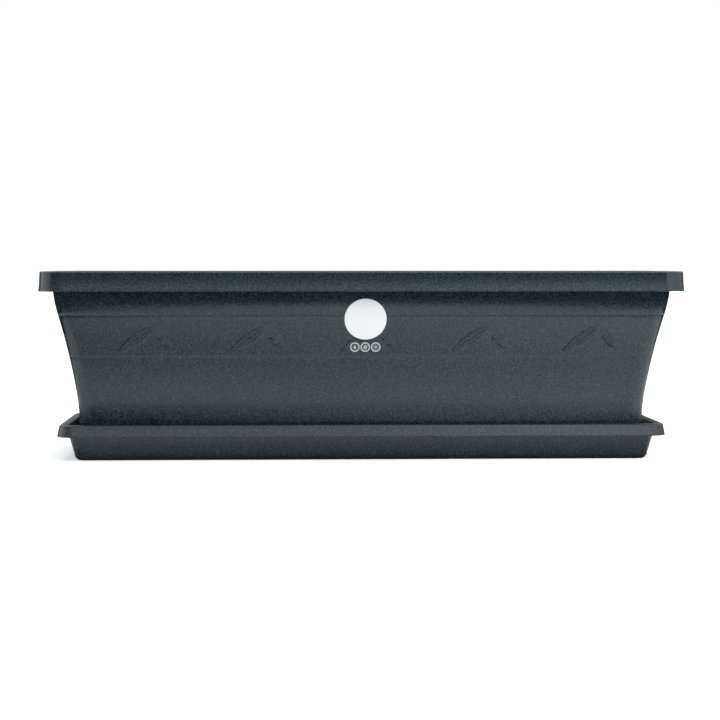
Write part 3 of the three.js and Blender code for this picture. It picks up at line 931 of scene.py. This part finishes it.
def printed_shape(mesh, half_width, half_height, x=0, z=0, turn=0, shape=None, segments=SYMBOL_SEGMENTS):
    """Adds a raised printed shape to a symbol: an oval, or what shape makes of its points."""
    part = bmesh.new()
    film_disc(part, half_width, half_height, symbol_back, symbol_face, PRINT_EDGE, segments)
    if shape:
        for vert in part.verts:
            vert.co.x, vert.co.z = shape(vert.co.x / half_width, vert.co.z / half_height)
    bmesh.ops.rotate(part, matrix=Matrix.Rotation(turn, 3, "Y"), verts=part.verts)
    bmesh.ops.translate(part, vec=(x, 0, z), verts=part.verts)
    join_part(mesh, part)


DROP_RADIUS = 1.25 * MM
DROP_SHIFT = -0.5 * MM
DROP_TAPER = 1.3
DROP_STRETCH = 2.1


def drop(u, w):
    """Draws the upper half of a circle up to a point."""
    if w < 0:
        return u * DROP_RADIUS, w * DROP_RADIUS
    return u * DROP_RADIUS * (1 - w ** DROP_TAPER), w * DROP_RADIUS * DROP_STRETCH


def water_symbol(mesh):
    printed_shape(mesh, DROP_RADIUS, DROP_RADIUS, z=DROP_SHIFT, shape=drop)


LEAF_HALF_LENGTH = 2.5 * MM
LEAF_HALF_WIDTH = 1.5 * MM
LEAF_MIDRIB = 0.22 * MM
LEAF_TURN = math.radians(40)


def leaf_half(side):
    """Gives the shape of half an oval with pointed ends, beside the bare line of the midrib."""
    def blade(u, w):
        across = LEAF_MIDRIB + max(side * u, 0) * LEAF_HALF_WIDTH * math.sqrt(max(1 - abs(w), 0))
        return side * across, w * LEAF_HALF_LENGTH

    return blade


def leaf_symbol(mesh):
    for side in (-1, 1):
        printed_shape(mesh, LEAF_HALF_WIDTH, LEAF_HALF_LENGTH, turn=LEAF_TURN, shape=leaf_half(side))


SUN_RADIUS = 1.05 * MM
RAY_COUNT = 8
RAY_HALF_WIDTH = 0.24 * MM
RAY_HALF_LENGTH = 0.55 * MM
RAY_DISTANCE = 2.15 * MM
RAY_SEGMENTS = 12


def sun_symbol(mesh):
    printed_shape(mesh, SUN_RADIUS, SUN_RADIUS)
    for ray in range(RAY_COUNT):
        angle = ray * math.tau / RAY_COUNT
        printed_shape(
            mesh, RAY_HALF_WIDTH, RAY_HALF_LENGTH, x=RAY_DISTANCE * math.sin(angle),
            z=RAY_DISTANCE * math.cos(angle), turn=angle, segments=RAY_SEGMENTS,
        )


grey_film = printed_film("grey_film", GREY_FILM, GREY_FILM_ROUGHNESS)
dark_ink = printed_film("dark_ink", DARK_INK, DARK_INK_ROUGHNESS)
symbols = {"water_mark": water_symbol, "leaf_mark": leaf_symbol, "sun_mark": sun_symbol}
for node, draw_symbol in symbols.items():
    mark_low, mark_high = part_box(node)
    mark_middle = (mark_low + mark_high) / 2
    mark_radius = (mark_high.x - mark_low.x) / 2
    mark_mesh = bmesh.new()
    film_disc(
        mark_mesh, mark_radius, mark_radius, FILM_GAP, FILM_GAP + MARK_THICKNESS, MARK_EDGE, MARK_SEGMENTS,
    )
    film_faces = set(mark_mesh.faces)
    film_disc(mark_mesh, FIELD_RADIUS, FIELD_RADIUS, field_back, field_face, PRINT_EDGE, MARK_SEGMENTS)
    for face in mark_mesh.faces:
        if face not in film_faces:
            face.material_index = INK_SLOT
    draw_symbol(mark_mesh)
    press_on_wall(mark_mesh, mark_middle.x, mark_middle.z)
    finished_piece("planter_" + node, mark_mesh, "trough", [node], [grey_film, dark_ink])


# White surroundings
# A plain pale floor, which keeps the planter's soft shadow, and a plain white world. The camera sees both
# as white. Reflections see them too, with a painted contact shadow: close to the tray, the floor that
# reflections see is darkened. Lengths are in metres.
FLOOR_SIZE = 40
FLOOR_COLOUR = (0.74, 0.79, 0.81)
FLOOR_GLOW = 0.52
GLOW_IN_GLOSS = 0.71
# How far from the tray's foot the painted shadow reaches on the floor that reflections see.
PAINTED_SHADOW_REACH = 48 * MM
WORLD_LIGHT = 0.15
WHITE = (1, 1, 1, 1)
BLACK = (0, 0, 0, 1)


def seen_as_background(tree, shiny_share=1.0):
    """1 for the camera's rays, and a share of it for the rays off or through a glossy surface."""
    path = add_node(tree, "LightPath").outputs
    shiny = calculate(tree, "MAXIMUM", path["Is Glossy Ray"], path["Is Transmission Ray"])
    seen = calculate(tree, "MULTIPLY", shiny, shiny_share)
    return calculate(tree, "MAXIMUM", path["Is Camera Ray"], seen)


# Painted contact shadow: the floor's colour and glow that reflections see are darkened at the tray's foot,
# and rise to full strength away from it over the painted shadow's reach.
floor_material, tree, shader = new_material("pale_floor")
place = add_node(tree, "TexCoord").outputs["Object"]
mirrored = calculate(tree, "ABSOLUTE", place, kind="VectorMath")
foot_corner_place = (HALF_LENGTH - tray_foot_inset, HALF_DEPTH - tray_foot_inset, 0)
past_tray = calculate(tree, "SUBTRACT", mirrored, foot_corner_place, kind="VectorMath")
outside = calculate(tree, "MAXIMUM", past_tray, (0, 0, 0), kind="VectorMath")
from_tray = add_node(tree, "VectorMath", {"operation": "LENGTH"}, Vector=outside).outputs["Value"]
clear_of_painted_shadow = add_node(tree, "MapRange", Value=from_tray, From_Max=PAINTED_SHADOW_REACH).outputs[0]
in_gloss = add_node(tree, "LightPath").outputs["Is Glossy Ray"]
# Painted shadow: for glossy rays, the floor's colour is scaled down towards the tray's foot.
painted_shadow_scale = add_node(tree, "MapRange", Value=in_gloss, To_Min=1.0, To_Max=clear_of_painted_shadow).outputs[0]
colour = add_node(tree, "VectorMath", {"operation": "SCALE"}, Vector=FLOOR_COLOUR, Scale=painted_shadow_scale).outputs[0]
seen = seen_as_background(tree, calculate(tree, "MULTIPLY", clear_of_painted_shadow, GLOW_IN_GLOSS))
set_inputs(tree, shader, {
    "Base Color": colour, "Roughness": 1, "Specular IOR Level": 0,
    "Emission Color": WHITE, "Emission Strength": calculate(tree, "MULTIPLY", seen, FLOOR_GLOW),
})
floor_mesh = bmesh.new()
bmesh.ops.create_grid(floor_mesh, x_segments=1, y_segments=1, size=FLOOR_SIZE / 2)
pale_floor = mesh_object("floor", floor_mesh, [floor_material])

scene = bpy.context.scene
scene.view_settings.view_transform = "Standard"
world = bpy.data.worlds.new("white_world")
scene.world = world
world.use_nodes = True
tree = world.node_tree
strength = add_node(tree, "MapRange", Value=seen_as_background(tree), To_Min=WORLD_LIGHT, To_Max=1.0)
set_inputs(tree, tree.nodes["Background"], {"Color": WHITE, "Strength": strength.outputs[0]})

# What the plastic's gloss reflects besides: black cloth on the ground round the white table, a low black
# strip on the table, a black band low down farther off in front, and white cards round about. Only
# reflections see them, so they are painted reflections. Cloth, strip and band are black sheets that paint
# the dark tones of the wall's foot, the tray and the rim; the cards glow, though they are no lamps, and
# paint the plastic's lighter tones.
TABLE_MIDDLE = 0.03
TABLE_HALF_LENGTH = 0.56
TABLE_HALF_DEPTH = 0.42
TABLE_SEGMENTS = 64
CLOTH_LIFT = 1 * MM
CLOTH_GROWTH = 6


def for_reflections_only(name, mesh):
    """Makes a black backdrop that only glossy rays see, and returns its node tree and shader."""
    material, tree, shader = new_material(name)
    set_inputs(tree, shader, {"Base Color": BLACK, "Specular IOR Level": 0})
    backdrop = mesh_object(name, mesh, [material])
    backdrop.visible_camera = False
    backdrop.visible_diffuse = False
    backdrop.visible_transmission = False
    backdrop.visible_shadow = False
    return tree, shader


cloth_mesh = bmesh.new()
ring = bmesh.ops.create_circle(cloth_mesh, cap_ends=False, segments=TABLE_SEGMENTS, radius=1)["verts"]
bmesh.ops.scale(cloth_mesh, vec=(TABLE_HALF_LENGTH, TABLE_HALF_DEPTH, 1), verts=ring)
bmesh.ops.translate(cloth_mesh, vec=(0, 0, CLOTH_LIFT), verts=ring)
loop, verts = extruded_loop(cloth_mesh, list({e for v in ring for e in v.link_edges}))
bmesh.ops.scale(cloth_mesh, vec=(CLOTH_GROWTH, CLOTH_GROWTH, 1), verts=verts)
bmesh.ops.translate(cloth_mesh, vec=(TABLE_MIDDLE, 0, 0), verts=cloth_mesh.verts)
for_reflections_only("black_cloth", cloth_mesh)

# The strip is a black sheet that only reflections see: painted shade in the plastic's reflections.
# The strip stands in front of the tray. Each end has its x and its height, and the left one is higher.
STRIP_LEFT = (-0.5, 0.019)
STRIP_RIGHT = (0.34, 0.005)
STRIP_Y = -0.262
strip_mesh = bmesh.new()
verts = [
    strip_mesh.verts.new((x, STRIP_Y, z))
    for x, z in ((STRIP_LEFT[0], 0), (STRIP_RIGHT[0], 0), STRIP_RIGHT, STRIP_LEFT)
]
bmesh.ops.contextual_create(strip_mesh, geom=verts)
for_reflections_only("black_strip", strip_mesh)

# Each card: from and to what azimuth it stands (0 in front, positive to the right), in degrees, its lower
# and upper edge, and its share of the glow. The glow changes with the azimuth, by stops of (degrees, glow).
CARD_DISTANCE = 2.6
CARD_STEPS = 16
CARDS = (
    ("black_band", -62, 34, 0, 0.62, 0),
    ("front_card", -62, 34, 0.62, 3.4, 1),
    ("right_card", 34, 120, 0.62, 3.4, 1),
    ("right_band", 34, 120, 0, 0.62, 0.75),
    ("left_card", -125, -62, 0, 2.4, 1),
    ("back_band", 120, 240, 0, 0.7, 0.15),
)
CARD_GLOW = (
    (-125, 1.6), (-84, 1.6), (-60, 0.9), (-30, 0.85), (-13, 1.4),
    (-5, 1.35), (4, 1.7), (16, 2.3), (120, 0.8),
)
MOST_GLOW = 2.4
glow_start, glow_end = CARD_GLOW[0][0], CARD_GLOW[-1][0]
glow_stops = [
    ((degrees - glow_start) / (glow_end - glow_start), [glow / MOST_GLOW] * 3)
    for degrees, glow in CARD_GLOW
]
for name, start, end, low, high, share_of_glow in CARDS:
    card_mesh = bmesh.new()
    verts = [card_mesh.verts.new((0, -CARD_DISTANCE, z)) for z in (low, high)]
    edge = card_mesh.edges.new(verts)
    bmesh.ops.rotate(card_mesh, matrix=Matrix.Rotation(math.radians(start), 3, "Z"), verts=verts)
    bmesh.ops.spin(
        card_mesh, geom=[*verts, edge], axis=(0, 0, 1), cent=(0, 0, 0), dvec=(0, 0, 0),
        angle=math.radians(end - start), steps=CARD_STEPS, use_merge=False, use_duplicate=False,
    )
    tree, shader = for_reflections_only(name, card_mesh)
    # Painted reflections: the cards glow, though they are no lamps, and only reflections see the glow.
    if share_of_glow:
        place = add_node(tree, "TexCoord").outputs["Object"]
        there = add_node(tree, "SeparateXYZ", Vector=place).outputs
        azimuth = calculate(tree, "ARCTAN2", there["X"], calculate(tree, "MULTIPLY", there["Y"], -1.0))
        share = add_node(
            tree, "MapRange", Value=azimuth,
            From_Min=math.radians(glow_start), From_Max=math.radians(glow_end),
        )
        set_inputs(tree, shader, {
            "Emission Color": colour_ramp(tree, share.outputs[0], glow_stops),
            "Emission Strength": MOST_GLOW * share_of_glow,
        })

# Broad soft lights, far off: the strongest from overhead, weaker ones from the front and both sides. Each
# has the azimuth it comes from (0 in front, 90 at the right), its elevation, its width and its strength.
LIGHTS = (
    ("front_light", 12, 35, 40, 0.75),
    ("right_light", 75, 35, 40, 0.6),
    ("left_light", -80, 35, 40, 0.4),
    ("top_light", 0, 84, 36, 2.3),
)


def add_light(name, kind, power, tilt, azimuth):
    """Adds a light that reflections don't see. With no tilt it shines straight down."""
    light = bpy.data.objects.new(name, bpy.data.lights.new(name, kind))
    light.data.energy = power
    light.rotation_euler = (math.radians(tilt), 0, math.radians(azimuth))
    light.visible_glossy = False
    scene.collection.objects.link(light)
    return light


for name, azimuth, elevation, width, power in LIGHTS:
    sun = add_light(name, "SUN", power, 90 - elevation, azimuth)
    sun.data.angle = math.radians(width)

# A near softbox at the front right makes that end a little lighter.
SOFTBOX_PLACE = (1.1, -0.9, 0.9)
SOFTBOX_SIZE = 0.6
SOFTBOX_POWER = 12
SOFTBOX_TILT = 55
SOFTBOX_AZIMUTH = 48
softbox = add_light("right_softbox", "AREA", SOFTBOX_POWER, SOFTBOX_TILT, SOFTBOX_AZIMUTH)
softbox.data.size = SOFTBOX_SIZE
softbox.location = SOFTBOX_PLACE
